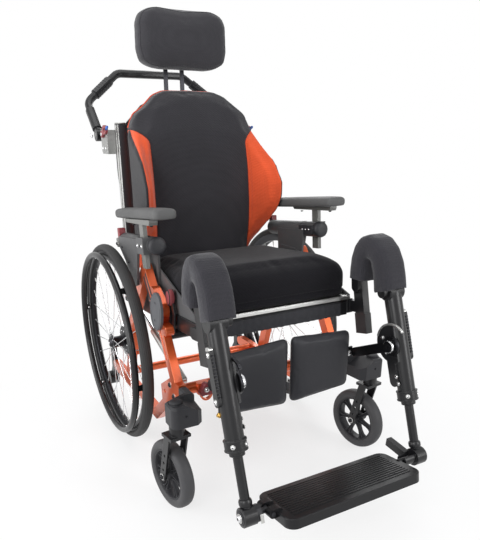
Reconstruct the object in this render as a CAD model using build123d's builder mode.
from build123d import *
from math import sin, cos, radians, degrees, atan2, hypot

# Tilt-in-space wheelchair, comfort type with one tilting seat on a fixed wheelbase.
# Millimetres, +Z up, front of the chair towards -Y, the sitter's left hand towards +X.
# Z = 0 is the floor.  The left-hand pieces are modelled and mirrored for the right.

# ---------------------------------------------------------------- clearances
run_gap = 0.3            # running gap between pieces that move on one another
bore_gap = 0.25          # radial gap of a pin in its bore
soft_gap = 0.3           # foam or fabric to a piece of another body

# ---------------------------------------------------------------- rear wheel
wheel_r = 300.0          # 24 inch wheel, to the tread
wheel_x = 300.0          # wheel plane from the middle of the chair
axle_y = 200.0
tyre_w = 32.0
tyre_h = 24.0            # height of the tyre outside the rim
tread_w = 16.0
rim_h = 20.0
rim_w = 24.0
rim_well_w = 12.0
spoke_count = 28
spoke_d = 2.6
spoke_cross = 38.0       # degrees that a spoke leads or trails its hub hole
flange_r = 27.0
flange_t = 4.0
flange_out = 16.0        # outer flange, from the wheel plane
flange_in = -28.0        # inner flange
hub_r = 18.0
hub_cap_r = 15.0
hub_cap_t = 8.0
drum_r = 45.0            # drum brake in the inner end of the hub
axle_r = 6.35            # half inch quick-release axle
hand_rim_drop = 30.0     # hand rim inside the tread
hand_rim_tube_r = 9.5
hand_rim_out = 30.0      # hand rim from the wheel plane
tab_count = 6
tab_w = 24.0
tab_t = 9.0

# ---------------------------------------------------------------- side frame
frame_x = 250.0          # middle of the side-frame tubing
frame_w = 22.0
leg_w = 30.0
leg_bow = 8.0            # the front leg bows forward by this much
rail_w = 32.0
apex_y, apex_z = 10.0, 562.0
foot_y, foot_z = -172.0, 292.0
pivot_y, pivot_z = -90.0, 475.0      # tilt pivot
pivot_pin_r = 10.0
pivot_boss_r = 26.0
pivot_plate_r = 22.0
rail_front_y = -15.0
rail_rear_y = 400.0
rail_z = 140.0
node_front_y = -205.0    # flat face that takes the caster housing
node_h = 66.0
node_z = 272.0
axle_plate_w = 58.0
bolt_r = 6.0
leg_groove_w = 8.0
leg_groove_d = 3.0

cross_tube_r = 14.0
mid_tube_y, mid_tube_z = -100.0, 407.0
front_tube_y, front_tube_z = -160.0, 270.0
front_tube_r = 16.0
rear_tube_y, rear_tube_z = 320.0, rail_z
ring_x = 165.0           # tie-down eye under the front cross tube
ring_r = 17.0
ring_wire = 5.0
ring_eye_r = 12.0

knob_r = 20.0            # star knob on the front cross tube
knob_t = 16.0
knob_x = 178.0
knob_stem_r = 7.0
knob_stem = 14.0

axle_block_t = 7.0       # axle block on the inside of the side frame
axle_block_r = 30.0

tip_arm_w = 26.0         # anti-tip arm
tip_arm_t = 16.0
tip_y, tip_z = 476.0, 62.0
tip_roller_r = 24.0

# ---------------------------------------------------------------- caster
caster_r = 90.0
caster_w = 36.0
caster_x = 301.0
stem_y = -284.0
trail = 37.0
caster_rest = 8.0        # degrees that both casters stand turned at rest
stem_r = 10.0
stem_len = 44.0
fork_arm_w = 24.0
fork_arm_t = 5.0
fork_gap = 5.0           # wheel side to fork arm
fork_top = 221.0
crown_t = 8.0
crown_w = 46.0
caster_axle_r = 5.0
caster_hub_r = 15.0
caster_rim_r = 68.0
caster_rim_t = 6.0
caster_spokes = 7
caster_spoke_w = 15.0
caster_spoke_t = 14.0
fork_hole_r = 4.0
fork_hole_pitch = 24.0
housing_top = 303.0
housing_h = 55.0
housing_in = 58.0        # from the stem towards the middle of the chair
housing_out = 20.0
housing_front = 31.0
housing_back = 32.0
housing_round = 16.0
button_r = 16.0
button_h = 4.0

# ---------------------------------------------------------------- seat
seat_slope = 4.5         # degrees that the seat falls to the rear
seat_front_y = -265.0
seat_front_z = 490.0     # top of the seat pan at its front edge
pan_half = 219.0
pan_depth = 430.0
pan_t = 10.0
seat_rail_x = 212.0      # inner face of the side rail
seat_rail_w = 18.0
seat_rail_h = 38.0
seat_rail_len = 578.0
front_bar_h = 34.0
front_bar_t = 26.0
front_bar_drop = 8.0
rear_bar_r = 12.0
rear_bar_at = 470.0
cushion_half = 220.0
cushion_depth = 428.0
cushion_h = 106.0
cushion_round = 30.0
guard_t = 4.0
guard_x = pan_half + 2.0
guard_rear_z = 572.0
guard_front_h = 11.0     # front edge of the guard above the seat rail
guard_len = 330.0
hanger_in = 209.0        # bow over the knee that carries the leg support
hanger_t = 13.0
hanger_w = 26.0
socket_in = 221.0        # socket profile that the bow stands in
socket_w = 20.0
socket_d = 35.0
socket_top_y, socket_top_z = -287.0, 545.0
socket_low_y, socket_low_z = -321.0, 398.0
socket_foot_d = 41.0
socket_foot_h = 54.0

cover_w = 76.0           # oval cover of the tilt pivot
cover_h = 104.0
cover_t = 9.0
cover_lean = 12.0
cover_hole_r = 3.5
cover_hole_pitch = 50.0

# ---------------------------------------------------------------- tilt gas spring
strut_x = -203.0
strut_r = 11.0
strut_rod_r = 5.0
strut_eye_r = 11.0
strut_eye_w = 12.0
strut_y0, strut_z0 = -98.0, 267.0    # eye on the base
strut_y1, strut_z1 = 250.0, 385.0    # eye on the seat frame
strut_body = 235.0

# ---------------------------------------------------------------- brake lever
brake_x = 236.0
brake_t = 4.4
brake_pivot_y, brake_pivot_z = -128.0, 428.0
brake_knob_y, brake_knob_z = -125.0, 514.0
brake_knob_w = 26.0
brake_knob_h = 40.0
brake_knob_t = 16.0

# ---------------------------------------------------------------- arm support
arm_x = 250.0
arm_tube_r = 22.0
arm_z = 638.0
arm_front_y = -84.0
arm_slope = 5.5          # degrees that the arm falls to the rear
arm_len = 262.0
arm_plate_t = 6.0
skirt_t = 7.0
skirt_tip_y, skirt_tip_z = 50.0, 508.0
post_w = 28.0
post_t = 11.0
post_at = 46.0           # along the arm
post_low = -58.0         # lower end, from the middle of the housing
post_x = 268.0           # outside the side frame, so that it passes when the seat tilts
arm_pad_up = 65.5        # underside of the pad, from the middle of the housing
arm_pad_h = 26.0
arm_pad_w = 60.0
arm_pad_lead = 82.0      # the pad reaches past the housing's front end
arm_pad_len = 340.0
under_rail_h = 9.0
under_rail_step = 4.0
under_rail_w = 22.0
under_rail_lead = 36.0
under_rail_len = 190.0

# ---------------------------------------------------------------- back
back_pivot_end = 18.0    # hinge of the back, from the rear end of the seat rail
back_pivot_r = 8.0
back_post_w = 21.7
back_post_d = 38.0
back_post_top = 930.0
back_set = 5.0           # front face of the posts behind the hinge
back_shell_t = 6.0
back_foam_low = 500.0
back_foam_top = 1026.0
back_half = 215.0
back_narrow = 25.0       # the sides draw in by this much to the posts
wing_depth = 240.0       # wing rim in front of the posts
seam_x = 161.0
seam_d = 4.0
back_crown = 7.0
cross_w = 34.0

clamp_z = 846.0
clamp_h = 68.0
clamp_d = 64.0
clamp_out = 26.0
push_pivot_out = 118.0   # pivot of the push bar behind the posts
push_pivot_up = -14.0    # and above the clamp
push_low_out, push_low_up = 95.0, 100.0     # lower bend, from the pivot
push_top_out, push_top_up = 132.0, 192.0    # upper bend, from the pivot
push_top_half = 116.0
push_spread = 5.0
push_eye_r = 18.0
push_eye_w = 26.0
push_pin_r = 6.0
push_tube_r = 12.5
push_bend_r = 40.0
grip_r = 16.5
stem_sleeve_r = 16.0     # thick sleeve between the clamp and the lower bend
grip_ribs = 7
lever_t = 7.0
lever_len = 44.0
lever_w = 26.0

head_bar_x = 27.0
head_bar_w = 12.0
head_bar_t = 7.0
head_bar_y = 372.0
head_bar_low = 790.0
head_pivot_z = 1150.0
head_half = 141.0
head_low = 1080.0
head_top = 1235.0
head_t = 90.0
head_y = 304.0
head_hinge_y = 360.0
head_pin_r = 5.0
head_lug_r = 8.0
head_lug_half = 12.0

# ---------------------------------------------------------------- leg support
leg_x = 245.0
knee_y, knee_z = -394.0, 528.0
leg_lean = 19.2          # degrees from the vertical
leg_tube_r = 21.5
leg_tube_len = 263.0
collar_r = 25.0
collar_h = 26.0
collar_step_r = 17.5
collar_step_h = 8.0
ext_r = 11.0
ext_len = 420.4          # knee pivot to the lower end
ext_in = 150.0           # upper end, hidden in the leg tube
knee_boss_r = 19.0
knee_pin_r = 8.0
knee_pad_w = 74.0
knee_pad_in = 201.0
rack_w = 22.0
rack_t = 9.0
rack_top = -50.0
rack_low = -178.0

calf_hinge = -134.0      # along the leg tube
calf_disc_r = 25.0
calf_disc_t = 6.0
calf_knob_r = 15.0
calf_knob_t = 11.0       # its face stays clear of the foot plate that is flipped up
calf_pin_r = 6.0
calf_arm_w = 26.0
calf_arm_z = 340.0
quad_r = 50.0            # quadrant plate beside the leg tube
quad_t = 6.0
quad_back = 4.0
quad_cut = -12.0
quad_strap_low = -225.0
quad_strap_w = 28.0
calf_arm_t = 6.0
calf_bar_h = 30.0
calf_bar_t = 5.0
calf_in, calf_out = 4.0, 190.0
calf_low, calf_top = 240.0, 424.0
calf_y = -312.0
calf_pad_t = 28.0
calf_outer_h = 160.0     # the pads taper towards the outside
calf_slot_l = 26.0
calf_slot_w = 9.0

foot_half = 188.0
foot_y0, foot_y1 = -467.0, -609.0
foot_z0, foot_z1 = 126.0, 149.0
foot_t = 25.0
foot_round = 24.0
foot_ribs = 13
foot_rib_h = 1.6
foot_rib_w = 4.0
hub_tube_r = 16.0
hub_eye_r = 22.0
hub_eye_w = 30.0
hub_collar_r = 20.0
hub_collar_w = 12.0
flip_pin_r = 5.0
flip_knuckle_r = 10.0
flip_gap = 9.0           # hinge pin to the edge of the plate
catch_pin_r = 7.0
catch_rail = 70.0        # side rail of the catch, from the hub to the rear
knob_facets = 9


# ---------------------------------------------------------------- helpers
def save(piece, name):
    piece.part.label = name
    export_step(piece.part, "parts/" + name + ".step")


def save_pair(piece, name):
    """writes the modelled left piece and its mirror image as the right one"""
    save(piece, name + "_left")
    with BuildPart() as twin:
        add(mirror(piece.part, about=Plane.YZ, mode=Mode.PRIVATE))
    save(twin, name + "_right")


def save_casters(piece, name):
    """both casters stand turned the same way at rest, each about its own stem"""
    for side in (1, -1):
        with BuildPart() as turned:
            add(piece.part if side > 0 else mirror(piece.part, about=Plane.YZ, mode=Mode.PRIVATE))
        stem = Axis((side * caster_x, stem_y, 0), (0, 0, 1))
        turned.part = turned.part.rotate(stem, caster_rest)
        save(turned, name + ("_left" if side > 0 else "_right"))


def limb(p, q, w):
    """round-ended strip from p to q, in the sketch that is open"""
    with Locations(((p[0] + q[0]) / 2, (p[1] + q[1]) / 2)):
        SlotCenterToCenter(hypot(q[0] - p[0], q[1] - p[1]), w,
                           rotation=degrees(atan2(q[1] - p[1], q[0] - p[0])))


def side_plane(x):
    """YZ plane at x: sketch axes run along +Y and +Z, normal +X"""
    return Plane(origin=(x, 0, 0), x_dir=(0, 1, 0), z_dir=(1, 0, 0))


def along(table, z):
    """straight-line reading between (z, value) stations"""
    if z <= table[0][0]:
        return table[0][1]
    for (z0, v0), (z1, v1) in zip(table, table[1:]):
        if z <= z1:
            return v0 + (v1 - v0) * (z - z0) / (z1 - z0)
    return table[-1][1]


# derived places that several pieces share
frame_in = frame_x - frame_w / 2
frame_out = frame_x + frame_w / 2
slope = radians(seat_slope)
seat_plane = Plane(origin=(0, seat_front_y, seat_front_z), x_dir=(1, 0, 0),
                   z_dir=(0, sin(slope), cos(slope)))
lean = radians(leg_lean)
leg_plane = Plane(origin=(leg_x, knee_y, knee_z), x_dir=(1, 0, 0),
                  z_dir=(0, sin(lean), cos(lean)))
rail_out = seat_rail_x + seat_rail_w
arm_turn = radians(arm_slope)
hanger_out = hanger_in + hanger_t


def seat_yz(along_y, up):
    """seat-plane place as (y, z)"""
    return (seat_front_y + along_y * cos(slope) + up * sin(slope),
            seat_front_z - along_y * sin(slope) + up * cos(slope))


def arm_yz(along_y, up):
    """place on the sloping arm as (y, z), from the front end of its housing"""
    return (arm_front_y + along_y * cos(arm_turn) + up * sin(arm_turn),
            arm_z - along_y * sin(arm_turn) + up * cos(arm_turn))


def leg_yz(back, up):
    """leg-tube place as (y, z)"""
    return (knee_y + back * cos(lean) + up * sin(lean),
            knee_z - back * sin(lean) + up * cos(lean))


def hanger_bow(extra=0):
    """bow from the knee pivot up, over and down to the socket, in the open sketch"""
    bow = ((knee_y, knee_z), (knee_y + 16, knee_z + 58), (knee_y + 47, knee_z + 98),
           (knee_y + 82, knee_z + 80), (socket_top_y - 6, socket_top_z))
    for a, b in zip(bow, bow[1:]):
        limb(a, b, hanger_w + 2 * extra)


back_pivot_at = seat_rail_len - back_pivot_end
back_pivot = seat_yz(back_pivot_at, -pan_t - seat_rail_h / 2)
back_front_y = back_pivot[0] + back_set
post_back = back_front_y + back_post_d
push_pivot_y = post_back + push_pivot_out
push_pivot_z = clamp_z + clamp_h + push_pivot_up
hand_rim_r = wheel_r - hand_rim_drop

# ================================================================ rear wheel
rim_out = wheel_r - tyre_h
rim_in = rim_out - rim_h
wheel_plane = Plane(origin=(0, axle_y, wheel_r), x_dir=(1, 0, 0), z_dir=(0, -1, 0))
wheel_axis = Axis((0, axle_y, wheel_r), (1, 0, 0))

with BuildPart() as rear_tyre:
    with BuildSketch(wheel_plane):
        Polygon((wheel_x - rim_w / 2, rim_out), (wheel_x + rim_w / 2, rim_out),
                (wheel_x + tyre_w / 2, rim_out + tyre_h / 2), (wheel_x + tread_w / 2, wheel_r),
                (wheel_x - tread_w / 2, wheel_r), (wheel_x - tyre_w / 2, rim_out + tyre_h / 2),
                align=None)
    revolve(axis=wheel_axis)
save_pair(rear_tyre, "rear_tyre")

hub_in = frame_out + run_gap
axle_end = frame_in - axle_block_t
with BuildPart() as rear_wheel:
    with BuildSketch(wheel_plane):
        Polygon((wheel_x - rim_well_w / 2, rim_in), (wheel_x + rim_well_w / 2, rim_in),
                (wheel_x + rim_w / 2, rim_out), (wheel_x - rim_w / 2, rim_out), align=None)
        # hub: axle, drum, barrel, two flanges and cap as one turned profile
        Polygon((axle_end, 0), (axle_end, axle_r), (hub_in, axle_r), (hub_in, hub_cap_r),
                (hub_in + 2, drum_r - 6), (hub_in + 2, drum_r),
                (wheel_x + flange_in + flange_t, drum_r),
                (wheel_x + flange_in + flange_t, hub_r),
                (wheel_x + flange_out - flange_t, hub_r),
                (wheel_x + flange_out - flange_t, flange_r), (wheel_x + flange_out, flange_r),
                (wheel_x + flange_out, hub_cap_r), (wheel_x + flange_out + hub_cap_t, hub_cap_r - 4),
                (wheel_x + flange_out + hub_cap_t, 0), align=None)
    revolve(axis=wheel_axis)
    spokes = []
    for i in range(spoke_count):
        rim_a = radians(360 * i / spoke_count)
        lead = radians(spoke_cross) * (1 if i % 4 < 2 else -1)
        outer = i % 2 == 0
        hx = wheel_x + (flange_out - flange_t / 2 if outer else flange_in + flange_t / 2)
        hr = flange_r - 5 if outer else drum_r - 4
        hub_end = Vector(hx, axle_y + hr * cos(rim_a + lead), wheel_r + hr * sin(rim_a + lead))
        rim_end = Vector(wheel_x, axle_y + (rim_in + 4) * cos(rim_a),
                         wheel_r + (rim_in + 4) * sin(rim_a))
        with BuildSketch(Plane(origin=hub_end, z_dir=rim_end - hub_end)):
            Rectangle(spoke_d, spoke_d)
        spokes.append(extrude(amount=(rim_end - hub_end).length, mode=Mode.PRIVATE))
    add(spokes)
save_pair(rear_wheel, "rear_wheel")

with BuildPart() as hand_rim:
    with BuildSketch(wheel_plane):
        with Locations((wheel_x + hand_rim_out, hand_rim_r)):
            RegularPolygon(hand_rim_tube_r, 6)
    revolve(axis=wheel_axis)
    rim_face = wheel_x + rim_well_w / 2 + run_gap     # beside the rim's slanting side
    rim_step = (rim_w - rim_well_w) / 2 / rim_h
    lo, hi = rim_out - 14, rim_out - 14 + tab_t
    with BuildSketch(Plane(origin=(0, axle_y - tab_w / 2, wheel_r), x_dir=(1, 0, 0),
                           z_dir=(0, -1, 0))):
        Polygon((rim_face + (lo - rim_in) * rim_step, lo), (wheel_x + hand_rim_out, lo),
                (wheel_x + hand_rim_out, hi), (rim_face + (hi - rim_in) * rim_step, hi),
                align=None)
    tab = extrude(amount=-tab_w, mode=Mode.PRIVATE)
    for i in range(tab_count):
        add(tab.rotate(wheel_axis, 360 * i / tab_count + 20))
save_pair(hand_rim, "hand_rim")

# ================================================================ base
leg_mid = ((apex_y + foot_y) / 2 - leg_bow, (apex_z + foot_z) / 2 + leg_bow / 2)
with BuildPart() as side_frame:
    with BuildSketch(side_plane(frame_in)):
        limb((apex_y, apex_z), leg_mid, leg_w)
        limb(leg_mid, (foot_y, foot_z), leg_w)
        limb((apex_y, apex_z), (axle_y, wheel_r + 24), leg_w)
        limb((axle_y, wheel_r + 24), (axle_y, wheel_r - 12), axle_plate_w)
        limb((axle_y, wheel_r - 20), (axle_y + 46, rail_z), rail_w)
        limb((rail_front_y, rail_z), (rail_rear_y, rail_z), rail_w)
        limb((rail_front_y, rail_z), (foot_y + 18, node_z - 14), rail_w)
        # casting that joins leg, lower rail and caster housing
        Polygon((node_front_y, node_z - node_h / 2), (node_front_y, node_z + node_h / 2),
                (foot_y + 26, node_z + node_h / 2), (foot_y + 96, node_z - 12),
                (foot_y + 92, node_z - node_h + 6), (foot_y + 14, node_z - node_h / 2),
                align=None)
        # bracket that carries the tilt pivot in front of the leg
        limb((pivot_y, pivot_z), (pivot_y + 44, pivot_z + 26), 2 * pivot_boss_r)
        limb((pivot_y, pivot_z), (pivot_y + 14, pivot_z - 42), 44)
        limb((brake_pivot_y, brake_pivot_z), (pivot_y, brake_pivot_z + 4), 26)
        with Locations((pivot_y, pivot_z)):
            Circle(pivot_pin_r + bore_gap, mode=Mode.SUBTRACT)
        with Locations((axle_y, wheel_r)):
            Circle(axle_r + bore_gap, mode=Mode.SUBTRACT)
        with Locations((axle_y, wheel_r + 28), (axle_y, wheel_r - 28)):
            Circle(bolt_r, mode=Mode.SUBTRACT)
    extrude(amount=frame_w)
    # axle block welded to the inner face
    with BuildSketch(side_plane(frame_in - axle_block_t)):
        limb((axle_y, wheel_r + 30), (axle_y, wheel_r - 30), 2 * axle_block_r - 12)
        with Locations((axle_y, wheel_r)):
            Circle(axle_block_r)
            Circle(axle_r + bore_gap, mode=Mode.SUBTRACT)
        with Locations((axle_y, wheel_r + 28), (axle_y, wheel_r - 28)):
            Circle(bolt_r, mode=Mode.SUBTRACT)
    extrude(amount=axle_block_t)
    # bright groove down the outer face of the front leg, and the bolts of the casting
    with BuildSketch(side_plane(frame_out)):
        limb((leg_mid[0] + 51, leg_mid[1] + 70), leg_mid, leg_groove_w)
        limb(leg_mid, (leg_mid[0] - 42, leg_mid[1] - 78), leg_groove_w)
    extrude(amount=-leg_groove_d, mode=Mode.SUBTRACT)
    with BuildSketch(side_plane(frame_out)):
        with Locations((foot_y + 123 - 55, node_z - 22), (foot_y + 12, node_z - 14)):
            Circle(bolt_r)
    extrude(amount=-leg_groove_d, mode=Mode.SUBTRACT)
save_pair(side_frame, "side_frame")

with BuildPart() as front_cross_tube:
    with BuildSketch(Plane(origin=(-frame_in, front_tube_y, front_tube_z), x_dir=(0, 1, 0),
                           z_dir=(1, 0, 0))):
        Circle(front_tube_r)
    extrude(amount=2 * frame_in)
    for sx in (-1, 1):
        # tie-down eye: welded wire loop under the tube, facing the front
        with BuildSketch(Plane(origin=(sx * ring_x, front_tube_y + ring_wire, 0),
                               x_dir=(1, 0, 0), z_dir=(0, -1, 0))):
            with Locations((0, front_tube_z - front_tube_r - ring_eye_r)):
                Circle(ring_r)
            with Locations((0, front_tube_z - front_tube_r + 2)):
                Rectangle(2 * ring_r, 2 * ring_eye_r)
            with Locations((0, front_tube_z - front_tube_r - ring_eye_r)):
                Circle(ring_eye_r, mode=Mode.SUBTRACT)
        extrude(amount=2 * ring_wire)
    # clamp block that the star knob bears on
    with BuildSketch(Plane(origin=(-knob_x, front_tube_y, front_tube_z), x_dir=(1, 0, 0),
                           z_dir=(0, -1, 0))):
        Rectangle(34, 2 * front_tube_r)
    extrude(amount=front_tube_r + 4)
    with BuildSketch(Plane(origin=(-knob_x, front_tube_y - front_tube_r - 4, front_tube_z),
                           x_dir=(1, 0, 0), z_dir=(0, 1, 0))):
        Circle(knob_stem_r + bore_gap)
    extrude(amount=knob_stem + 1, mode=Mode.SUBTRACT)
save(front_cross_tube, "front_cross_tube")

knob_y = front_tube_y - front_tube_r - 4
with BuildPart() as clamp_knob:
    with BuildSketch(Plane(origin=(-knob_x, knob_y, front_tube_z), x_dir=(1, 0, 0),
                           z_dir=(0, -1, 0))):
        Circle(knob_r - 6)
        with PolarLocations(knob_r - 9, 3, start_angle=90):
            Circle(9)
    extrude(amount=knob_t)
    chamfer(clamp_knob.faces().sort_by(Axis.Y)[0].edges(), 1.5)
    with BuildSketch(Plane(origin=(-knob_x, knob_y, front_tube_z), x_dir=(1, 0, 0),
                           z_dir=(0, 1, 0))):
        Circle(knob_stem_r)
    extrude(amount=knob_stem)
    with BuildSketch(Plane(origin=(-knob_x, knob_y - knob_t, front_tube_z), x_dir=(1, 0, 0),
                           z_dir=(0, 1, 0))):
        Circle(5)
    extrude(amount=4, mode=Mode.SUBTRACT)
save(clamp_knob, "clamp_knob")

for tube_name, ty, tz in (("mid_cross_tube", mid_tube_y, mid_tube_z),
                          ("rear_cross_tube", rear_tube_y, rear_tube_z)):
    with BuildPart() as cross_tube:
        with BuildSketch(Plane(origin=(-frame_in, ty, tz), x_dir=(0, 1, 0), z_dir=(1, 0, 0))):
            Circle(cross_tube_r)
        extrude(amount=2 * frame_in)
    save(cross_tube, tube_name)

tip_end = rail_rear_y + rail_w / 2
with BuildPart() as anti_tipper:
    with BuildSketch(side_plane(frame_x - tip_arm_t / 2)):
        limb((tip_end + 22, rail_z + 46), (tip_end + 22, rail_z - 22), tip_arm_w)
        limb((tip_end + 22, rail_z - 22), (tip_y, tip_z), tip_arm_w - 6)
        with Locations((tip_end + 9 + run_gap / 2, rail_z)):
            Rectangle(18 - run_gap, 18)
    extrude(amount=tip_arm_t)
    with BuildSketch(side_plane(frame_x - tip_arm_t / 2 - 8)):
        with Locations((tip_y, tip_z)):
            Circle(tip_roller_r)
    extrude(amount=tip_arm_t + 16)
save_pair(anti_tipper, "anti_tipper")

with BuildPart() as pivot_cover:
    with BuildSketch(side_plane(frame_out)):
        with Locations(Location((pivot_y, pivot_z - 4, 0), (0, 0, cover_lean))):
            Ellipse(cover_w / 2, cover_h / 2)
            with Locations((0, cover_hole_pitch / 2), (0, -cover_hole_pitch / 2)):
                Circle(cover_hole_r, mode=Mode.SUBTRACT)
    extrude(amount=cover_t)
    chamfer(pivot_cover.faces().sort_by(Axis.X)[-1].outer_wire().edges(), 2.5)
save_pair(pivot_cover, "pivot_cover")

with BuildPart() as brake_lever:
    bx = frame_in - run_gap - brake_t
    with BuildSketch(side_plane(bx)):
        limb((brake_pivot_y, brake_pivot_z), (brake_pivot_y - 12, brake_pivot_z + 44), 14)
        limb((brake_pivot_y - 12, brake_pivot_z + 44), (brake_knob_y, brake_knob_z), 12)
    extrude(amount=brake_t)
    with BuildSketch(side_plane(frame_in - run_gap)):
        with Locations((brake_pivot_y, brake_pivot_z)):
            Circle(5)
    extrude(amount=run_gap)
    with BuildSketch(side_plane(rail_out + 1)):
        with Locations((brake_knob_y, brake_knob_z)):
            Ellipse(brake_knob_w / 2, brake_knob_h / 2)
    extrude(amount=brake_knob_t)
save_pair(brake_lever, "brake_lever")

# ================================================================ caster
housing_low = housing_top - housing_h
with BuildPart() as caster_housing:
    with BuildSketch(Plane.XY.offset(housing_low)):
        with BuildLine():
            Polyline((caster_x + housing_out, stem_y - housing_front),
                     (caster_x + housing_out, stem_y + housing_back - 12),
                     (frame_out, stem_y + housing_back + 16),
                     (frame_out, node_front_y), (frame_in, node_front_y),
                     (frame_in, stem_y + housing_back),
                     (caster_x - housing_in, stem_y - housing_front + 12),
                     (caster_x - housing_in + 14, stem_y - housing_front), close=True)
        make_face()
        fillet(vertices().filter_by(lambda v: v.Y < stem_y + 5 and v.X > caster_x),
               housing_round)
    extrude(amount=housing_h)
    chamfer(caster_housing.faces().sort_by(Axis.Z)[-1].edges(), 5)
    # the top falls towards the chair, and its edges are rounded over
    with BuildSketch(Plane(origin=(0, stem_y - housing_front - 1, 0), x_dir=(1, 0, 0),
                           z_dir=(0, -1, 0))):
        Polygon((frame_in - 20, housing_top + 1), (caster_x - 14, housing_top + 1),
                (caster_x - housing_in - 1, housing_top - 22), (frame_in - 20, housing_top - 22),
                align=None)
    extrude(amount=-(housing_front + housing_back), mode=Mode.SUBTRACT)
    with Locations((caster_x, stem_y, housing_top)):
        Cylinder(button_r, button_h, align=(Align.CENTER, Align.CENTER, Align.MIN))
    # bore of the stem, from below, and the screw hole in the front face
    with Locations((caster_x, stem_y, housing_low)):
        Cylinder(stem_r + bore_gap, stem_len, align=(Align.CENTER, Align.CENTER, Align.MIN),
                 mode=Mode.SUBTRACT)
    with BuildSketch(Plane(origin=(caster_x - 14, stem_y - housing_front, housing_low + 30),
                           x_dir=(1, 0, 0), z_dir=(0, 1, 0))):
        Circle(cover_hole_r)
    extrude(amount=4, mode=Mode.SUBTRACT)
save_pair(caster_housing, "caster_housing")

caster_y = stem_y + trail
arm_in = caster_w / 2 + fork_gap
with BuildPart() as caster_fork:
    with Locations((caster_x, stem_y, fork_top)):
        Cylinder(stem_r, housing_low - fork_top + stem_len - run_gap,
                 align=(Align.CENTER, Align.CENTER, Align.MIN))
        Cylinder(stem_r + 9, housing_low - run_gap - fork_top,
                 align=(Align.CENTER, Align.CENTER, Align.MIN))
    with Locations((caster_x, stem_y + 4, fork_top - crown_t / 2)):
        Box(2 * (arm_in + fork_arm_t), crown_w, crown_t)
    for sx in (-1, 1):
        face = caster_x + (arm_in if sx > 0 else -arm_in - fork_arm_t)
        with BuildSketch(side_plane(face)):
            limb((stem_y + 6, fork_top - fork_arm_w / 2), (caster_y, caster_r), fork_arm_w)
            step_y = (stem_y + 6 - caster_y) / hypot(stem_y + 6 - caster_y, fork_top - 12 - caster_r)
            step_z = (fork_top - 12 - caster_r) / hypot(stem_y + 6 - caster_y,
                                                        fork_top - 12 - caster_r)
            with Locations(*[(caster_y + step_y * k * fork_hole_pitch,
                              caster_r + step_z * k * fork_hole_pitch) for k in (1, 2, 3)]):
                Circle(fork_hole_r, mode=Mode.SUBTRACT)
        extrude(amount=fork_arm_t)
    with BuildSketch(side_plane(caster_x - arm_in - fork_arm_t - 4)):
        with Locations((caster_y, caster_r)):
            Circle(caster_axle_r)
    extrude(amount=2 * (arm_in + fork_arm_t + 4))
save_casters(caster_fork, "caster_fork")

caster_plane = Plane(origin=(0, caster_y, caster_r), x_dir=(1, 0, 0), z_dir=(0, -1, 0))
caster_axis = Axis((0, caster_y, caster_r), (1, 0, 0))
with BuildPart() as caster_wheel:
    with BuildSketch(caster_plane):
        Polygon((caster_x - caster_w / 2 + 6, caster_rim_r - caster_rim_t),
                (caster_x + caster_w / 2 - 6, caster_rim_r - caster_rim_t),
                (caster_x + caster_w / 2, caster_r - 14), (caster_x + 9, caster_r),
                (caster_x - 9, caster_r), (caster_x - caster_w / 2, caster_r - 14), align=None)
        with Locations((caster_x, (caster_hub_r + caster_axle_r + bore_gap) / 2)):
            Rectangle(caster_w + 2 * (fork_gap - run_gap),
                      caster_hub_r - caster_axle_r - bore_gap)
    revolve(axis=caster_axis)
    for i in range(caster_spokes):
        a = radians(360 * i / caster_spokes + 90)
        mid_r = (caster_hub_r + caster_rim_r - caster_rim_t) / 2
        with BuildSketch(Plane(origin=(caster_x - caster_spoke_t / 2,
                                       caster_y + mid_r * cos(a), caster_r + mid_r * sin(a)),
                               x_dir=(0, cos(a), sin(a)), z_dir=(1, 0, 0))):
            Rectangle(caster_rim_r - caster_rim_t - caster_hub_r + 8, caster_spoke_w)
        extrude(amount=caster_spoke_t)
save_casters(caster_wheel, "caster_wheel")

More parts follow.
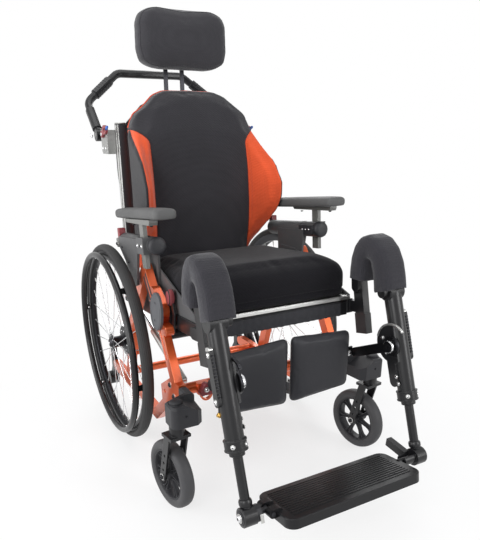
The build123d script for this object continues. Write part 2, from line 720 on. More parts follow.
# ================================================================ seat
with BuildPart() as seat_frame:
    for sx in (-1, 1):
        with BuildSketch(Plane(origin=(sx * (seat_rail_x + seat_rail_w / 2), 0, 0),
                               x_dir=(0, 1, 0), z_dir=(1, 0, 0))):
            with BuildLine():
                Polyline(seat_yz(0, -pan_t), seat_yz(seat_rail_len, -pan_t),
                         seat_yz(seat_rail_len, -pan_t - seat_rail_h),
                         seat_yz(0, -pan_t - seat_rail_h), close=True)
            make_face()
        extrude(amount=seat_rail_w / 2, both=True)
    # front cross bar, wrapped in webbing, and the round rear cross bar
    with BuildSketch(Plane(origin=(-seat_rail_x, 0, 0), x_dir=(0, 1, 0), z_dir=(1, 0, 0))):
        with BuildLine():
            Polyline(seat_yz(2, -pan_t - front_bar_drop), seat_yz(2 + front_bar_t, -pan_t - front_bar_drop),
                     seat_yz(2 + front_bar_t, -pan_t - front_bar_drop - front_bar_h),
                     seat_yz(2, -pan_t - front_bar_drop - front_bar_h), close=True)
        make_face()
        with Locations(seat_yz(rear_bar_at, -pan_t - seat_rail_h / 2)):
            Circle(rear_bar_r)
    extrude(amount=2 * seat_rail_x)
    # tilt pivot plates on the outside of the rails, with their pins
    for sx in (-1, 1):
        with BuildSketch(side_plane(sx * rail_out)):
            limb((pivot_y, pivot_z), (pivot_y, pivot_z - 28), 2 * pivot_plate_r)
        extrude(amount=sx * (frame_in - run_gap - rail_out))
        with BuildSketch(side_plane(sx * rail_out)):
            with Locations((pivot_y, pivot_z)):
                Circle(pivot_pin_r)
        extrude(amount=sx * (frame_out - run_gap - rail_out))
        # bow over the knee, the socket that it stands in, and the block at its foot
        with BuildSketch(side_plane(hanger_in if sx > 0 else -hanger_out)):
            hanger_bow()
        extrude(amount=hanger_t)
        socket_x = socket_in if sx > 0 else -socket_in - socket_w
        socket_len = hypot(socket_top_y - socket_low_y, socket_top_z - socket_low_z)
        socket_turn = degrees(atan2(socket_top_z - socket_low_z, socket_top_y - socket_low_y))
        with BuildSketch(side_plane(socket_x)):
            with Locations(Location(((socket_top_y + socket_low_y) / 2,
                                     (socket_top_z + socket_low_z) / 2, 0), (0, 0, socket_turn))):
                Rectangle(socket_len, socket_d)
                with Locations((socket_foot_h / 2 - socket_len / 2, 0)):
                    Rectangle(socket_foot_h, socket_foot_d)
            # shoulder to the end of the seat rail
            limb(seat_yz(6, -pan_t - seat_rail_h / 2), seat_yz(-36, -pan_t - seat_rail_h / 2 + 2), 30)
        extrude(amount=socket_w)
        with BuildSketch(side_plane(hanger_in if sx > 0 else -socket_in - 2)):
            limb((socket_top_y - 6, socket_top_z), (socket_top_y - 9, socket_top_z - 24), hanger_w)
        extrude(amount=socket_in + 2 - hanger_in)
        with BuildSketch(side_plane(sx * hanger_in)):
            with Locations((knee_y, knee_z)):
                Circle(knee_pin_r)
        extrude(amount=sx * (leg_x - 6 - hanger_in))
        # hinge pins of the back
        with BuildSketch(side_plane(sx * seat_rail_x)):
            with Locations(back_pivot):
                Circle(back_pivot_r)
        extrude(amount=-sx * (back_post_w + 2))
    # lugs that take the upper eye of the tilt gas spring
    for off in (-strut_eye_w / 2 - run_gap - 5, strut_eye_w / 2 + run_gap):
        with BuildSketch(side_plane(strut_x + off)):
            limb((strut_y1, strut_z1), seat_yz(rear_bar_at, -pan_t - seat_rail_h / 2), 20)
        extrude(amount=5)
    with BuildSketch(side_plane(strut_x - strut_eye_w / 2 - run_gap - 5)):
        with Locations((strut_y1, strut_z1)):
            Circle(5)
    extrude(amount=strut_eye_w + 2 * run_gap + 10)
save(seat_frame, "seat_frame")

with BuildPart(seat_plane) as seat_pan:
    with BuildSketch(Plane(seat_plane.location * Location((0, 0, -pan_t)))):
        with Locations((0, pan_depth / 2)):
            RectangleRounded(2 * pan_half, pan_depth, 14)
    extrude(amount=pan_t)
save(seat_pan, "seat_pan")

seat_levels = ((0.0, 12, 18), (0.10, 3, 22), (0.30, 0, cushion_round), (0.62, 0, cushion_round),
               (0.82, 8, 34), (0.94, 26, 40), (1.0, 60, 44))
with BuildPart() as seat_cushion:
    for share, inset, rad in seat_levels:
        with BuildSketch(Plane(seat_plane.location * Location((0, cushion_depth / 2,
                                                              share * cushion_h)))):
            RectangleRounded(2 * (cushion_half - inset), cushion_depth - 2 * inset, rad)
    loft(ruled=True)
save(seat_cushion, "seat_cushion")

with BuildPart() as side_guard:
    with BuildSketch(side_plane(guard_x)):
        rail_top = seat_yz(6, -pan_t)
        top_y = seat_front_y + guard_len
        with BuildLine():
            Polyline(rail_top, seat_yz(guard_len + 20, -pan_t),
                     (top_y + 20, guard_rear_z), (top_y - 60, guard_rear_z),
                     (rail_top[0], rail_top[1] + guard_front_h),
                     close=True)
        make_face()
    extrude(amount=guard_t)
save_pair(side_guard, "side_guard")

# ================================================================ tilt gas spring
run_y, run_z = strut_y1 - strut_y0, strut_z1 - strut_z0
strut_len = hypot(run_y, run_z)
strut_plane = Plane(origin=(strut_x, strut_y0, strut_z0), x_dir=(1, 0, 0),
                    z_dir=(0, run_y / strut_len, run_z / strut_len))
with BuildPart() as tilt_cylinder:
    with BuildSketch(strut_plane):
        Circle(strut_r)
        Circle(strut_rod_r + bore_gap, mode=Mode.SUBTRACT)
    extrude(amount=strut_body)
    with BuildSketch(strut_plane):
        Circle(strut_r)
    extrude(amount=strut_eye_r + 16)
    with BuildSketch(side_plane(strut_x - strut_eye_w / 2)):
        with Locations((strut_y0, strut_z0)):
            Circle(strut_eye_r)
    extrude(amount=strut_eye_w)
    with BuildSketch(side_plane(-frame_in + run_gap)):
        with Locations((strut_y0, strut_z0)):
            Circle(6)
    extrude(amount=frame_in - run_gap + strut_x)
save(tilt_cylinder, "tilt_cylinder")

with BuildPart() as tilt_rod:
    with BuildSketch(Plane(strut_plane.location * Location((0, 0, strut_len - 255)))):
        Circle(strut_rod_r)
    extrude(amount=255 - strut_eye_r + 2)
    with BuildSketch(side_plane(strut_x - strut_eye_w / 2)):
        with Locations((strut_y1, strut_z1)):
            Circle(strut_eye_r)
            Circle(5 + 3, mode=Mode.SUBTRACT)
    extrude(amount=strut_eye_w)
save(tilt_rod, "tilt_rod")

# ================================================================ arm supports
arm_plane = Plane(origin=(arm_x, arm_front_y, arm_z), x_dir=(1, 0, 0),
                  z_dir=(0, sin(arm_turn), cos(arm_turn)))
post_plane = Plane(origin=(post_x, *arm_yz(post_at, 0)), x_dir=(1, 0, 0), z_dir=arm_plane.z_dir)
with BuildPart() as arm_housing:
    with BuildSketch(Plane(origin=(arm_x, arm_front_y, arm_z), x_dir=(1, 0, 0),
                           z_dir=arm_plane.y_dir)):
        Circle(arm_tube_r)
    extrude(amount=arm_len)
    chamfer(arm_housing.faces().sort_by(Axis.Y)[0].edges(), 4)
    # bracket that stands on the seat rail
    with BuildSketch(side_plane(guard_x + guard_t)):
        with BuildLine():
            Polyline(seat_yz(245, -pan_t), seat_yz(365, -pan_t), arm_yz(194, 0), arm_yz(54, 0),
                     close=True)
        make_face()
    extrude(amount=arm_plate_t)
    # outer shield that narrows to a tip
    with BuildSketch(side_plane(arm_x + arm_tube_r - skirt_t)):
        with BuildLine():
            Polyline(arm_yz(arm_len, 14), arm_yz(92, 14), (skirt_tip_y - 14, skirt_tip_z + 6),
                     (skirt_tip_y, skirt_tip_z), (skirt_tip_y + 12, skirt_tip_z + 14),
                     arm_yz(arm_len, -18), close=True)
        make_face()
    extrude(amount=skirt_t)
    # square socket block around the post
    with Locations(post_plane.location):
        Box(post_t + 16, post_w + 22, 2 * arm_tube_r - 2)
        Box(post_t + 2 * run_gap, post_w + 2 * run_gap, 80, mode=Mode.SUBTRACT)
save_pair(arm_housing, "arm_housing")

under_top = arm_pad_up
under_low = arm_pad_up - under_rail_h
with BuildPart() as arm_post:
    with Locations(Plane(post_plane.location * Location((0, 0, post_low))).location):
        Box(post_t, post_w, under_low - post_low, align=(Align.CENTER, Align.CENTER, Align.MIN))
    with BuildSketch(side_plane(post_x - under_rail_w / 2)):
        with BuildLine():
            Polyline(arm_yz(-under_rail_lead, under_top), arm_yz(under_rail_len - under_rail_lead, under_top),
                     arm_yz(under_rail_len - under_rail_lead - 8, under_low),
                     arm_yz(4 - under_rail_lead, under_low - under_rail_step),
                     arm_yz(-under_rail_lead, under_top - 6), close=True)
        make_face()
    extrude(amount=under_rail_w)
save_pair(arm_post, "arm_post")

with BuildPart() as arm_pad:
    for share, inset in ((0, 3), (0.25, 0), (0.7, 0), (0.9, 3), (1.0, 9)):
        with BuildSketch(Plane(arm_plane.location * Location((0, 0, arm_pad_up + share * arm_pad_h)))):
            with Locations((0, arm_pad_len / 2 - arm_pad_lead)):
                RectangleRounded(arm_pad_w - 2 * inset, arm_pad_len - 2 * inset, 14)
    loft(ruled=True)
save_pair(arm_pad, "arm_pad")

# ================================================================ back
post_in = seat_rail_x - run_gap - back_post_w
shell_low = back_foam_low + 10
with BuildPart() as back_frame:
    for sx in (-1, 1):
        with BuildSketch(side_plane(post_in if sx > 0 else -post_in - back_post_w)):
            with BuildLine():
                Polyline((back_front_y, back_pivot[1] + 46), (back_front_y, back_post_top),
                         (back_front_y + back_post_d, back_post_top),
                         (back_front_y + back_post_d, back_pivot[1] + 46), close=True)
            make_face()
            limb(back_pivot, (back_front_y + back_post_d / 2, back_pivot[1] + 60), back_post_d)
            with Locations(back_pivot):
                Circle(back_pivot_r + bore_gap, mode=Mode.SUBTRACT)
        extrude(amount=back_post_w)
    for z in (back_pivot[1] + 120, back_post_top - 60):
        with BuildSketch(Plane(origin=(-post_in, back_front_y + back_post_d - 12, z),
                               x_dir=(0, 1, 0), z_dir=(1, 0, 0))):
            Rectangle(16, cross_w)
        extrude(amount=2 * post_in)
    # socket that the head-support bars slide in
    sock_y = back_front_y + back_post_d - 4
    sock_z = back_post_top - 60
    with Locations((0, sock_y, sock_z)):
        Box(2 * head_bar_x + head_bar_w + 16, head_bar_y + head_bar_t / 2 + 6 - sock_y, 2 * cross_w,
            align=(Align.CENTER, Align.MIN, Align.CENTER))
    for sx in (-1, 1):
        with Locations((sx * head_bar_x, head_bar_y, sock_z)):
            Box(head_bar_w + 2 * run_gap, head_bar_t + 2 * run_gap, 4 * cross_w,
                mode=Mode.SUBTRACT)
save(back_frame, "back_frame")

with BuildPart() as back_shell:
    with BuildSketch(Plane(origin=(0, back_front_y, 0), x_dir=(1, 0, 0), z_dir=(0, -1, 0))):
        with BuildLine():
            Polyline((-post_in + run_gap, shell_low), (post_in - run_gap, shell_low),
                     (post_in - run_gap, back_post_top), (0.65 * back_half, back_foam_top - 46),
                     (0.37 * back_half, back_foam_top - 16), (-0.37 * back_half, back_foam_top - 16),
                     (-0.65 * back_half, back_foam_top - 46), (-post_in + run_gap, back_post_top),
                     close=True)
        make_face()
    extrude(amount=-back_shell_t)
save(back_shell, "back_shell")

# outlines as shares: height of the foam, depth of the wings, half width
centre_front = ((0, 0.483), (0.114, 0.5125), (0.38, 0.5), (0.57, 0.467), (0.76, 0.408),
                (0.913, 0.292), (1, 0.142))
rim_front = ((0, 0.133), (0.089, 0.242), (0.213, 0.617), (0.325, 0.9), (0.409, 0.983), (0.5, 1.0),
             (0.542, 0.958), (0.603, 0.85), (0.663, 0.7), (0.726, 0.492), (0.827, 0.233))
top_edge = ((0, 1), (0.326, 1), (0.409, 0.992), (0.521, 0.97), (0.628, 0.935), (0.744, 0.905),
            (0.884, 0.875), (0.953, 0.852), (1, 0.802))
foam_h = back_foam_top - back_foam_low
foam_back = back_front_y - run_gap
shares = (0, 0.05, 0.12, 0.22, 0.32, 0.42, 0.5, 0.56, 0.62, 0.7, 0.78, 0.86, 0.93, 1.0)


def foam_front(x, share):
    ax = abs(x)
    centre = back_front_y - wing_depth * along(centre_front, share)
    if ax <= seam_x:
        return centre - back_crown * (1 - (ax / seam_x) ** 2) + (seam_d if ax > seam_x - 2 else 0)
    t = min((ax - seam_x) / (back_half - 6 - seam_x), 1) ** 1.15
    rim = back_front_y - wing_depth * along(rim_front, share)
    y = centre * (1 - t) + min(rim, foam_back - 20) * t
    return y + (12 if ax > back_half - 3 else 0)


def foam_side(x, y):
    """the outer slices lean, so that the sides draw in towards the posts"""
    narrow = back_narrow * max(abs(x) - 112, 0) / (back_half - 112)
    return x - (narrow if x > 0 else -narrow) * (1 - (foam_back - y) / wing_depth)


with BuildPart() as back_cushion:
    slices = []
    for x in (-back_half, -back_half + 6, -192, -176, -seam_x, -seam_x + 6, -112, -80, 0,
              80, 112, seam_x - 6, seam_x, 176, 192, back_half - 6, back_half):
        top = along(top_edge, abs(x) / back_half)
        z_top = back_foam_low + top * foam_h
        pts = [(min(foam_front(x, s * top), foam_back - 24), back_foam_low + s * top * foam_h)
               for s in shares]
        pts += [(foam_back - 8, z_top), (foam_back, z_top - 10), (foam_back, back_foam_low + 10),
                (foam_back - 10, back_foam_low)]
        slices.append(Face(Wire.make_polygon([(foam_side(x, y), y, z) for y, z in pts])))
    loft(sections=slices, ruled=True)
save(back_cushion, "back_cushion")

# ---------------------------------------------------------------- head support
with BuildPart() as headrest_bracket:
    for sx in (-1, 1):
        with Locations((sx * head_bar_x, head_bar_y, head_bar_low)):
            Box(head_bar_w, head_bar_t, head_pivot_z + 12 - head_bar_low,
                align=(Align.CENTER, Align.CENTER, Align.MIN))
    bar_face = head_bar_y - head_bar_t / 2
    with Locations((0, head_bar_y, head_pivot_z)):
        Box(2 * head_bar_x + head_bar_w, head_bar_t, 26)
    for x0 in (-head_lug_half - run_gap - 10, head_lug_half + run_gap):
        with BuildSketch(side_plane(x0)):
            limb((head_hinge_y, head_pivot_z), (head_bar_y, head_pivot_z), 2 * head_lug_r)
        extrude(amount=10)
    with BuildSketch(side_plane(-head_lug_half - run_gap - 5)):
        with Locations((head_hinge_y, head_pivot_z)):
            Circle(head_pin_r)
    extrude(amount=2 * (head_lug_half + run_gap + 5))
save(headrest_bracket, "headrest_bracket")

head_levels = ((0, 0.50, 0.40), (0.04, 0.66, 0.66), (0.14, 0.86, 0.9), (0.34, 0.99, 1.0),
               (0.55, 1.0, 1.0), (0.74, 0.95, 0.97), (0.88, 0.83, 0.86), (0.97, 0.66, 0.62),
               (1.0, 0.54, 0.40))
with BuildPart() as headrest_pad:
    for share, wide, deep in head_levels:
        with BuildSketch(Plane.XY.offset(head_low + share * (head_top - head_low))):
            with Locations((0, head_y)):
                RectangleRounded(2 * head_half * wide, head_t * deep, head_t * deep * 0.42)
    loft(ruled=True)
    # lug at the back that turns on the bracket's pin
    with BuildSketch(side_plane(-head_lug_half)):
        limb((head_y + 20, head_pivot_z), (head_hinge_y, head_pivot_z), 2 * head_lug_r)
    extrude(amount=2 * head_lug_half)
    with BuildSketch(side_plane(-head_lug_half)):
        with Locations((head_hinge_y, head_pivot_z)):
            Circle(head_pin_r + bore_gap)
    extrude(amount=2 * head_lug_half, mode=Mode.SUBTRACT)
save(headrest_pad, "headrest_pad")

# ---------------------------------------------------------------- push bar
clamp_x0 = post_in
with BuildPart() as push_clamp:
    with BuildSketch(side_plane(clamp_x0)):
        with BuildLine():
            Polyline((post_back, clamp_z), (post_back + clamp_d - 8, clamp_z),
                     (post_back + clamp_d, clamp_z + 8), (post_back + clamp_d, clamp_z + clamp_h),
                     (post_back, clamp_z + clamp_h), close=True)
        make_face()
    extrude(amount=back_post_w + clamp_out)
    lug_x = clamp_x0 + back_post_w - 6
    with BuildSketch(side_plane(lug_x)):
        limb((post_back + clamp_d - 22, clamp_z + clamp_h - 20), (push_pivot_y, push_pivot_z), 36)
    extrude(amount=8)
    with BuildSketch(side_plane(lug_x + 8)):
        with Locations((push_pivot_y, push_pivot_z)):
            Circle(push_pin_r)
    extrude(amount=push_eye_w + 2 * run_gap)
save_pair(push_clamp, "push_clamp")

eye_x0 = lug_x + 8 + run_gap
bar_x = eye_x0 + push_eye_w / 2
bend_x = bar_x + push_spread
bend_y, bend_z = push_pivot_y + push_low_out, push_pivot_z + push_low_up
top_y, top_z = push_pivot_y + push_top_out, push_pivot_z + push_top_up
bar_path = [(bar_x, push_pivot_y, push_pivot_z), (bend_x, bend_y, bend_z),
            (push_top_half, top_y, top_z), (-push_top_half, top_y, top_z),
            (-bend_x, bend_y, bend_z), (-bar_x, push_pivot_y, push_pivot_z)]
with BuildPart() as push_bar:
    with BuildLine() as bar_line:
        FilletPolyline(*bar_path, radius=push_bend_r)
    first = Vector(*bar_path[1]) - Vector(*bar_path[0])
    with BuildSketch(Plane(origin=bar_path[0], x_dir=(1, 0, 0), z_dir=first)):
        RegularPolygon(push_tube_r, 10)
    sweep(path=bar_line.wires()[0])
    for sx in (-1, 1):
        x0 = eye_x0 if sx > 0 else -eye_x0 - push_eye_w
        with BuildSketch(side_plane(x0)):
            with Locations((push_pivot_y, push_pivot_z)):
                Circle(push_eye_r)
        extrude(amount=push_eye_w)
        with BuildSketch(side_plane(x0)):
            with Locations((push_pivot_y, push_pivot_z)):
                Circle(push_pin_r + bore_gap)
        extrude(amount=push_eye_w, mode=Mode.SUBTRACT)
    # ribbed hand grips on the slanting runs
    for sx in (-1, 1):
        a = Vector(sx * bend_x, bend_y, bend_z)
        b = Vector(sx * push_top_half, top_y, top_z)
        d = (b - a).normalized()
        g0, g1 = 40, (b - a).length - 40
        for k in range(grip_ribs):
            at = a + d * (g0 + (g1 - g0) * k / grip_ribs)
            with BuildSketch(Plane(origin=at, z_dir=d)):
                RegularPolygon(grip_r, 10)
            extrude(amount=(g1 - g0) / grip_ribs, taper=5)
        low = Vector(sx * bar_x, push_pivot_y, push_pivot_z)
        d = (a - low).normalized()
        with BuildSketch(Plane(origin=low + d * (push_eye_r + 6), z_dir=d)):
            RegularPolygon(stem_sleeve_r, 10)
        extrude(amount=(a - low).length - push_eye_r - 40)
save(push_bar, "push_bar")

with BuildPart() as release_lever:
    lx = clamp_x0 + back_post_w + clamp_out
    ly, lz = post_back + clamp_d / 2, clamp_z + clamp_h - 12
    with BuildSketch(side_plane(lx + run_gap)):
        with Locations((ly, lz)):
            Circle(lever_w / 2 - 3)
        limb((ly, lz), (ly - lever_len + 14, lz + 12), lever_w - 12)
        with Locations((ly - lever_len + 14, lz + 12)):
            Ellipse(lever_len / 2 - 2, lever_w / 2)
            Circle(5, mode=Mode.SUBTRACT)
    extrude(amount=lever_t)
save_pair(release_lever, "release_lever")

# cable from the right-hand clamp to the foot of the back post
cable_r = 2.0
cable_points = [(-clamp_x0 - 12, post_back + 34, clamp_z), (-clamp_x0 - 12, post_back + 34, clamp_z - 60),
                (-clamp_x0 - 11, post_back + 14, clamp_z - 150),
                (-clamp_x0 - 11, post_back + cable_r + 0.2, clamp_z - 240),
                (-clamp_x0 - 11, post_back + cable_r + 0.2, clamp_z - 330)]
with BuildPart() as release_cable:
    with BuildLine() as cable_line:
        FilletPolyline(*cable_points[:4], cable_points[4], radius=150)
    start = Vector(*cable_points[1]) - Vector(*cable_points[0])
    with BuildSketch(Plane(origin=cable_points[0], x_dir=(1, 0, 0), z_dir=start)):
        RegularPolygon(cable_r, 6)
    sweep(path=cable_line.wires()[0])
save(release_cable, "release_cable")

# ================================================================ leg supports
calf_pivot = leg_yz(0, calf_hinge)
plate_rise = atan2(foot_z1 - foot_z0, foot_y0 - foot_y1)
quad_x = leg_x - leg_tube_r - quad_t / 2      # inner face of the quadrant plate
calf_bore = leg_x - ext_r - quad_x
with BuildPart() as leg_tube:
    with BuildSketch(Plane(leg_plane.location * Location((0, 0, -leg_tube_len)))):
        Circle(leg_tube_r)
        Circle(ext_r + bore_gap, mode=Mode.SUBTRACT)
    extrude(amount=leg_tube_len - 40)
    with BuildSketch(Plane(leg_plane.location * Location((0, 0, -40)))):
        Circle(leg_tube_r)
    extrude(amount=40)
    # round knuckle at the knee, with the boss that runs against the bow
    with BuildSketch(side_plane(leg_x - leg_tube_r)):
        with Locations((knee_y, knee_z)):
            Circle(leg_tube_r)
    extrude(amount=2 * leg_tube_r)
    with BuildSketch(side_plane(hanger_out + run_gap)):
        with Locations((knee_y, knee_z)):
            Circle(knee_boss_r)
    extrude(amount=leg_x - hanger_out - run_gap)
    with BuildSketch(side_plane(hanger_out + run_gap)):
        with Locations((knee_y, knee_z)):
            Circle(knee_pin_r + bore_gap)
    extrude(amount=leg_x - 6 - hanger_out, mode=Mode.SUBTRACT)
    # collar at the lower end, with a smaller step below it
    for low, high, r in ((-leg_tube_len - collar_h / 2, -leg_tube_len + collar_h / 2, collar_r),
                         (-leg_tube_len - collar_h / 2 - collar_step_h,
                          -leg_tube_len - collar_h / 2, collar_step_r)):
        with BuildSketch(Plane(leg_plane.location * Location((0, 0, low)))):
            Circle(r)
            Circle(ext_r + bore_gap, mode=Mode.SUBTRACT)
        extrude(amount=high - low)
    # quadrant plate with its strap, on the inner side
    with BuildSketch(side_plane(quad_x)):
        with Locations(leg_yz(quad_back, calf_hinge + 6)):
            Circle(quad_r)
        limb(leg_yz(quad_back + 10, calf_hinge), leg_yz(quad_back + 10, quad_strap_low), quad_strap_w)
        with Locations(Location((*leg_yz(quad_cut - 30, calf_hinge), 0), (0, 0, -leg_lean))):
            Rectangle(60, 4 * quad_r, mode=Mode.SUBTRACT)
    extrude(amount=quad_t)
    with BuildSketch(side_plane(quad_x - 1)):
        with Locations(calf_pivot):
            Circle(calf_pin_r + bore_gap)
    extrude(amount=calf_bore + 1, mode=Mode.SUBTRACT)
    # rack plate on the outer side
    with BuildSketch(side_plane(leg_x + leg_tube_r - 2)):
        limb(leg_yz(0, rack_top - rack_w / 2), leg_yz(0, rack_low + rack_w / 2), rack_w)
    extrude(amount=rack_t)
save_pair(leg_tube, "leg_tube")

# pad over the bow: an upside-down U as long as the bow, open below for the swinging leg tube.
# Each row is an outer and an inner place of the outline, from the knee pivot (y, z).
knee_rows = ((-33, 10, 28, -10), (-25, 44, 36, 23), (-13, 78, 43, 48), (8, 110, 49, 64),
             (36, 131, 54, 71), (66, 137, 58, 72), (94, 127, 62, 66), (113, 104, 64, 54),
             (124, 72, 65, 40), (127, 40, 65, 25), (127, 10, 65, 10))
with BuildPart() as knee_pad:
    slices = []
    for share, scale in ((0, 0.66), (0.06, 0.86), (0.2, 1.0), (0.8, 1.0), (0.94, 0.86), (1, 0.66)):
        x = knee_pad_in + share * knee_pad_w
        outer, inner = [], []
        for oy, oz, iy, iz in knee_rows:
            my, mz = (oy + iy) / 2, (oz + iz) / 2
            outer.append((x, knee_y + my + (oy - my) * scale, knee_z + mz + (oz - mz) * scale))
            inner.append((x, knee_y + my + (iy - my) * scale, knee_z + mz + (iz - mz) * scale))
        slices.append(Face(Wire.make_polygon(outer + inner[::-1])))
    loft(sections=slices, ruled=True)
    # hollow for the bow and its socket
    with BuildSketch(side_plane(hanger_in - soft_gap)):
        hanger_bow(soft_gap)
    extrude(amount=hanger_t + 2 * soft_gap, mode=Mode.SUBTRACT)
    with BuildSketch(side_plane(hanger_in - soft_gap)):
        limb((socket_top_y - 4, socket_top_z - 20), (socket_top_y, socket_top_z),
             socket_d + 2 * soft_gap)
        with Locations((socket_top_y - 1, socket_top_z - 6)):
            Rectangle(socket_d + 8, 18)
    extrude(amount=socket_in + socket_w - hanger_in + 2 * soft_gap, mode=Mode.SUBTRACT)
    # room for the leg tube over its whole swing
    with BuildSketch(side_plane(hanger_out)):
        for swing in (0, 15, 30, 45):
            a = lean + radians(swing)
            limb((knee_y, knee_z), (knee_y - 70 * sin(a), knee_z - 70 * cos(a)),
                 2 * (leg_tube_r + soft_gap))
    extrude(amount=leg_x + leg_tube_r + soft_gap - hanger_out, mode=Mode.SUBTRACT)
save_pair(knee_pad, "knee_pad")

disc_x = quad_x - run_gap - calf_disc_t
calf_back = calf_y + calf_pad_t / 2
calf_arm_end = (calf_back - calf_arm_w / 2 + calf_bar_t, calf_arm_z)
with BuildPart() as calf_bracket:
    with BuildSketch(side_plane(disc_x)):
        with Locations(calf_pivot):
            Circle(calf_disc_r)
        limb(calf_pivot, calf_arm_end, calf_arm_w)
    extrude(amount=calf_disc_t)
    with BuildSketch(side_plane(disc_x - calf_knob_t)):
        with Locations(calf_pivot):
            RegularPolygon(calf_knob_r, 12)
    extrude(amount=calf_knob_t)
    with BuildSketch(side_plane(disc_x)):
        with Locations(calf_pivot):
            Circle(calf_pin_r)
    extrude(amount=leg_x - ext_r - 2 * run_gap - disc_x)
    # flat bar behind the pad, with its slotted hole
    with BuildSketch(Plane(origin=(0, calf_back, calf_arm_end[1]), x_dir=(1, 0, 0),
                           z_dir=(0, -1, 0))):
        with Locations(((disc_x + 90) / 2, 0)):
            Rectangle(disc_x - 90, calf_bar_h)
        with Locations((disc_x - 16, 0)):
            SlotOverall(calf_slot_l, calf_slot_w, mode=Mode.SUBTRACT)
    extrude(amount=-calf_bar_t)
save_pair(calf_bracket, "calf_bracket")

calf_mid = (calf_low + calf_top) / 2
with BuildPart() as calf_pad:
    for share, inset, rad in ((0, 5, 10), (0.18, 0, 14), (0.55, 0, 14), (0.82, 6, 16),
                              (0.94, 16, 18), (1.0, 34, 18)):
        with BuildSketch(Plane(origin=(0, calf_back - share * calf_pad_t, calf_mid),
                               x_dir=(1, 0, 0), z_dir=(0, -1, 0))):
            inner, outer = (calf_top - calf_low) / 2 - inset, calf_outer_h / 2 - inset
            Polygon((calf_in + inset, -inner), (calf_out - inset, -outer),
                    (calf_out - inset, outer), (calf_in + inset, inner), align=None)
            fillet(vertices(), rad)
    loft(ruled=True)
save_pair(calf_pad, "calf_pad")

for tag, sx in (("left", 1), ("right", -1)):
    ext_plane = Plane(origin=(sx * leg_x, knee_y, knee_z), x_dir=(1, 0, 0),
                      z_dir=(0, sin(lean), cos(lean)))
    foot_yz = leg_yz(0, -ext_len)
    with BuildPart() as leg_extension:
        with BuildSketch(Plane(ext_plane.location * Location((0, 0, -ext_len)))):
            Circle(ext_r)
        extrude(amount=ext_len - ext_in)
        with BuildSketch(side_plane(sx * leg_x - hub_eye_w / 2)):
            with Locations(foot_yz):
                Circle(hub_eye_r)
                if sx < 0:
                    Circle(hub_tube_r + bore_gap, mode=Mode.SUBTRACT)
        extrude(amount=hub_eye_w)
        if sx < 0:
            with BuildSketch(side_plane(-leg_x - hub_eye_w / 2)):
                with Locations(foot_yz):
                    Circle(hub_tube_r + bore_gap)
            extrude(amount=hub_eye_w, mode=Mode.SUBTRACT)
        else:
            # open catch that the plate's pin drops into
            catch_w = leg_x - hub_eye_w / 2 - foot_half - 8
            with BuildSketch(side_plane(leg_x - hub_eye_w / 2 - catch_w)):
                with Locations(foot_yz):
                    Circle(catch_pin_r + 8)
            extrude(amount=catch_w)
            with BuildSketch(side_plane(leg_x - hub_eye_w / 2 - 16)):
                with Locations(Location((foot_yz[0] + catch_rail / 2, foot_yz[1] + 4, 0), (0, 0, 6))):
                    Rectangle(catch_rail + 14, 21)
            extrude(amount=16)
            # seat of the pin, open upwards at right angles to the plate
            cw = catch_pin_r + bore_gap
            with BuildSketch(side_plane(leg_x - hub_eye_w / 2 - catch_w)):
                with Locations(Location((*foot_yz, 0), (0, 0, -degrees(plate_rise)))):
                    Circle(cw)
                    Polygon((-cw, 0), (cw, 0), (cw + 5, 24), (-cw - 5, 24), align=None)
            extrude(amount=catch_w, mode=Mode.SUBTRACT)
    save(leg_extension, "leg_extension_" + tag)

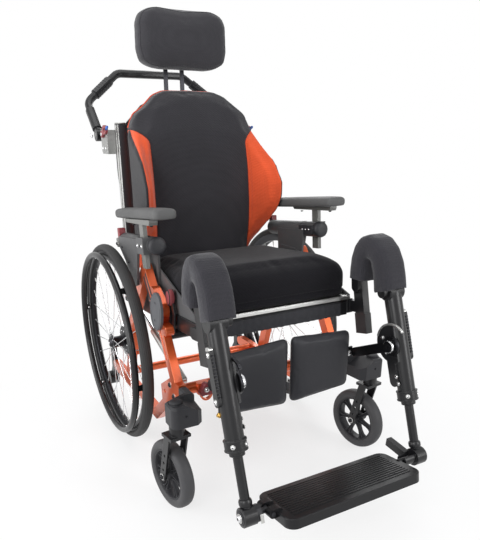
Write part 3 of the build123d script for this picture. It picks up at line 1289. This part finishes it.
# foot plate, hinged on the right-hand hub and resting in the left-hand catch
plate_len = hypot(foot_z1 - foot_z0, foot_y0 - foot_y1)
plate_plane = Plane(origin=(0, foot_y0, foot_z0), x_dir=(1, 0, 0),
                    z_dir=(0, sin(plate_rise), cos(plate_rise)))
hub_along = (foot_yz[0] - foot_y0) * cos(plate_rise) - (foot_yz[1] - foot_z0) * sin(plate_rise)
hub_up = (foot_yz[0] - foot_y0) * sin(plate_rise) + (foot_yz[1] - foot_z0) * cos(plate_rise)
flip_x = -foot_half - flip_gap
pin_half = 30.0
knuckle_in = 9.0
plate_axis = Axis(plate_plane.origin, plate_plane.z_dir)
flip_back = Plane(plate_plane.location * Location((flip_x, hub_along + pin_half, hub_up)))
with BuildPart() as foot_hub:
    with BuildSketch(side_plane(-leg_x - hub_eye_w / 2 - 3)):
        with Locations(foot_yz):
            Circle(hub_tube_r)
    extrude(amount=hub_eye_w + 3 + run_gap)
    hub_face = -leg_x + hub_eye_w / 2 + run_gap
    with BuildSketch(side_plane(hub_face)):
        with Locations(foot_yz):
            RegularPolygon(hub_collar_r, knob_facets)
    extrude(amount=hub_collar_w)
    with BuildSketch(side_plane(hub_face + hub_collar_w)):
        with Locations(foot_yz):
            Circle(7)
    extrude(amount=flip_x - hub_face - hub_collar_w)
    with Locations(Plane(origin=plate_plane.from_local_coords((flip_x, hub_along + pin_half, hub_up)),
                         x_dir=(1, 0, 0), z_dir=-plate_plane.y_dir).location):
        Cylinder(flip_pin_r, 2 * pin_half, align=(Align.CENTER, Align.CENTER, Align.MIN))
save(foot_hub, "foot_hub")

with BuildPart() as footplate:
    with BuildSketch(Plane(plate_plane.location * Location((0, 0, -foot_t)))):
        with Locations((0, -plate_len / 2)):
            RectangleRounded(2 * foot_half, plate_len, foot_round)
    extrude(amount=foot_t - foot_rib_h)
    chamfer(footplate.faces().sort_by(plate_axis)[-1].outer_wire().edges(), 2)
    with BuildSketch(Plane(plate_plane.location * Location((0, 0, -foot_rib_h)))):
        for k in range(foot_ribs):
            with Locations((0, -18 - k * (plate_len - 40) / (foot_ribs - 1))):
                Rectangle(2 * foot_half - 44, foot_rib_w)
    extrude(amount=foot_rib_h)
    # knuckles on the hub's hinge pin
    for k in (-1, 1):
        y0 = hub_along + (knuckle_in if k > 0 else -pin_half + 2)
        with BuildSketch(Plane(origin=plate_plane.from_local_coords((0, y0, 0)),
                               x_dir=(1, 0, 0), z_dir=plate_plane.y_dir)):
            limb((flip_x, -hub_up), (-foot_half + 6, -hub_up), 2 * flip_knuckle_r)
        extrude(amount=pin_half - 2 - knuckle_in)
    with BuildSketch(Plane(origin=plate_plane.from_local_coords((0, hub_along - pin_half, 0)),
                           x_dir=(1, 0, 0), z_dir=plate_plane.y_dir)):
        with Locations((flip_x, -hub_up)):
            Circle(flip_pin_r + bore_gap)
    extrude(amount=2 * pin_half, mode=Mode.SUBTRACT)
    # pin that rests in the catch of the left-hand leg support
    with BuildSketch(side_plane(foot_half - 6)):
        with Locations(foot_yz):
            Circle(catch_pin_r)
    extrude(amount=leg_x - hub_eye_w / 2 - 8 - foot_half + 6)
save(footplate, "footplate")
print("done")
